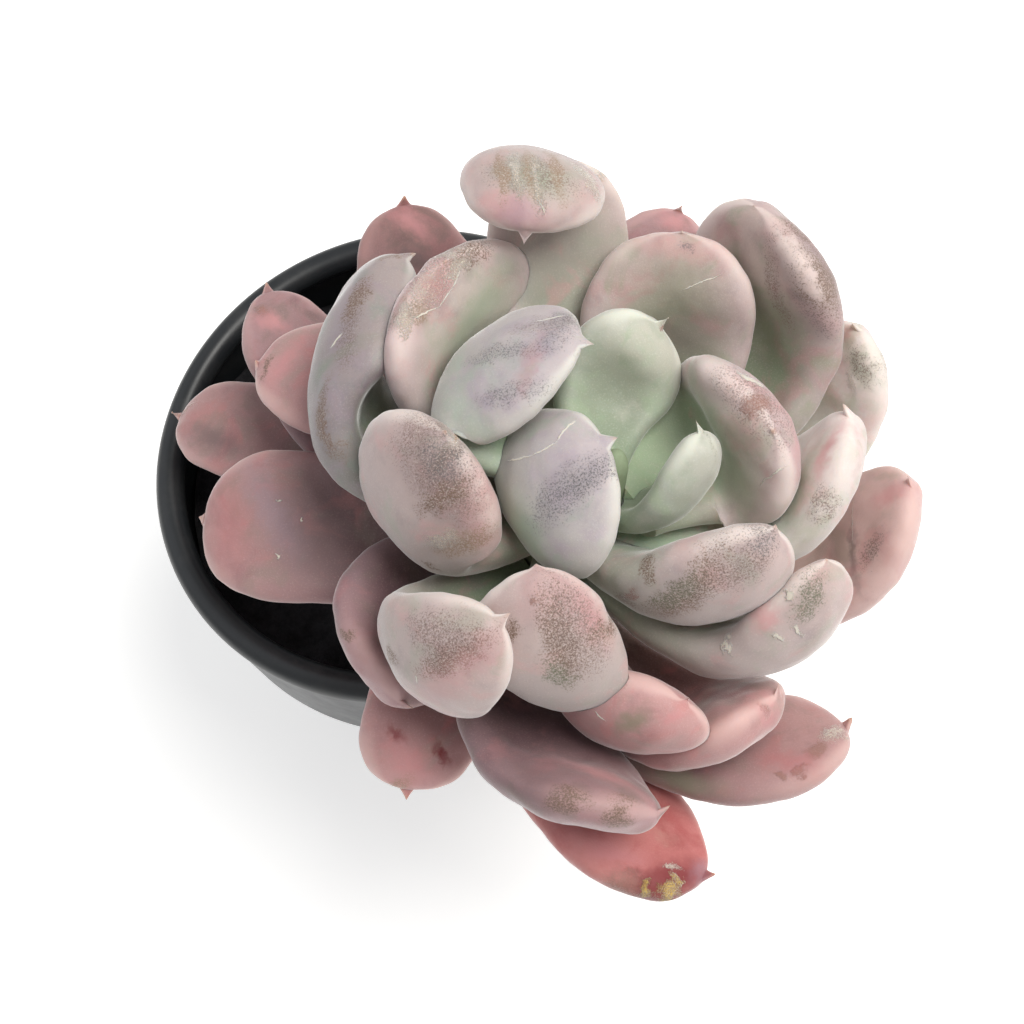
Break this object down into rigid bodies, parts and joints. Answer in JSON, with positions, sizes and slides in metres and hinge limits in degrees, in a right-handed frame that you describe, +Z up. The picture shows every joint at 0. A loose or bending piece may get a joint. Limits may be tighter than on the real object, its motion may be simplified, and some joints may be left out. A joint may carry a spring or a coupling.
{
  "type": "potted succulent",
  "caption": "Fat-leaved rosette succulent that leans out over the rim of its round black nursery pot, with a short stem and a filling of compost.",
  "frame": {"origin": "centre of the pot's underside, on the table", "axes": "+Z up along the pot's axis; the rosette leans out over the rim towards +X and -Y, which is the camera's side"},
  "size_m": [0.1207, 0.1325, 0.1345],
  "materials": {
    "pot_plastic": "satin",
    "soil": "matte",
    "stem": "matte",
    "leaf_sage": "matte",
    "leaf_pearl": "matte",
    "leaf_rose": "matte",
    "leaf_salmon": "matte"
  },
  "bodies": {
    "root": {"pot": "pot_plastic", "soil": "soil", "stem": "stem", "leaf_01": "leaf_pearl", "leaf_02": "leaf_pearl", "leaf_03": "leaf_sage", "leaf_04": "leaf_sage", "leaf_05": "leaf_pearl", "leaf_06": "leaf_pearl", "leaf_07": "leaf_pearl", "leaf_08": "leaf_pearl", "leaf_09": "leaf_sage", "leaf_10": "leaf_pearl", "leaf_11": "leaf_sage", "leaf_12": "leaf_pearl", "leaf_13": "leaf_pearl", "leaf_14": "leaf_sage", "leaf_15": "leaf_sage", "leaf_16": "leaf_sage", "leaf_17": "leaf_pearl", "leaf_18": "leaf_rose", "leaf_19": "leaf_rose", "leaf_20": "leaf_rose", "leaf_21": "leaf_rose", "leaf_22": "leaf_rose", "leaf_23": "leaf_salmon", "leaf_24": "leaf_rose", "leaf_25": "leaf_rose", "leaf_26": "leaf_rose", "leaf_27": "leaf_rose", "leaf_28": "leaf_rose", "leaf_29": "leaf_rose", "leaf_30": "leaf_rose", "leaf_31": "leaf_rose", "leaf_32": "leaf_sage", "leaf_33": "leaf_rose"}
  },
  "joints": []
}
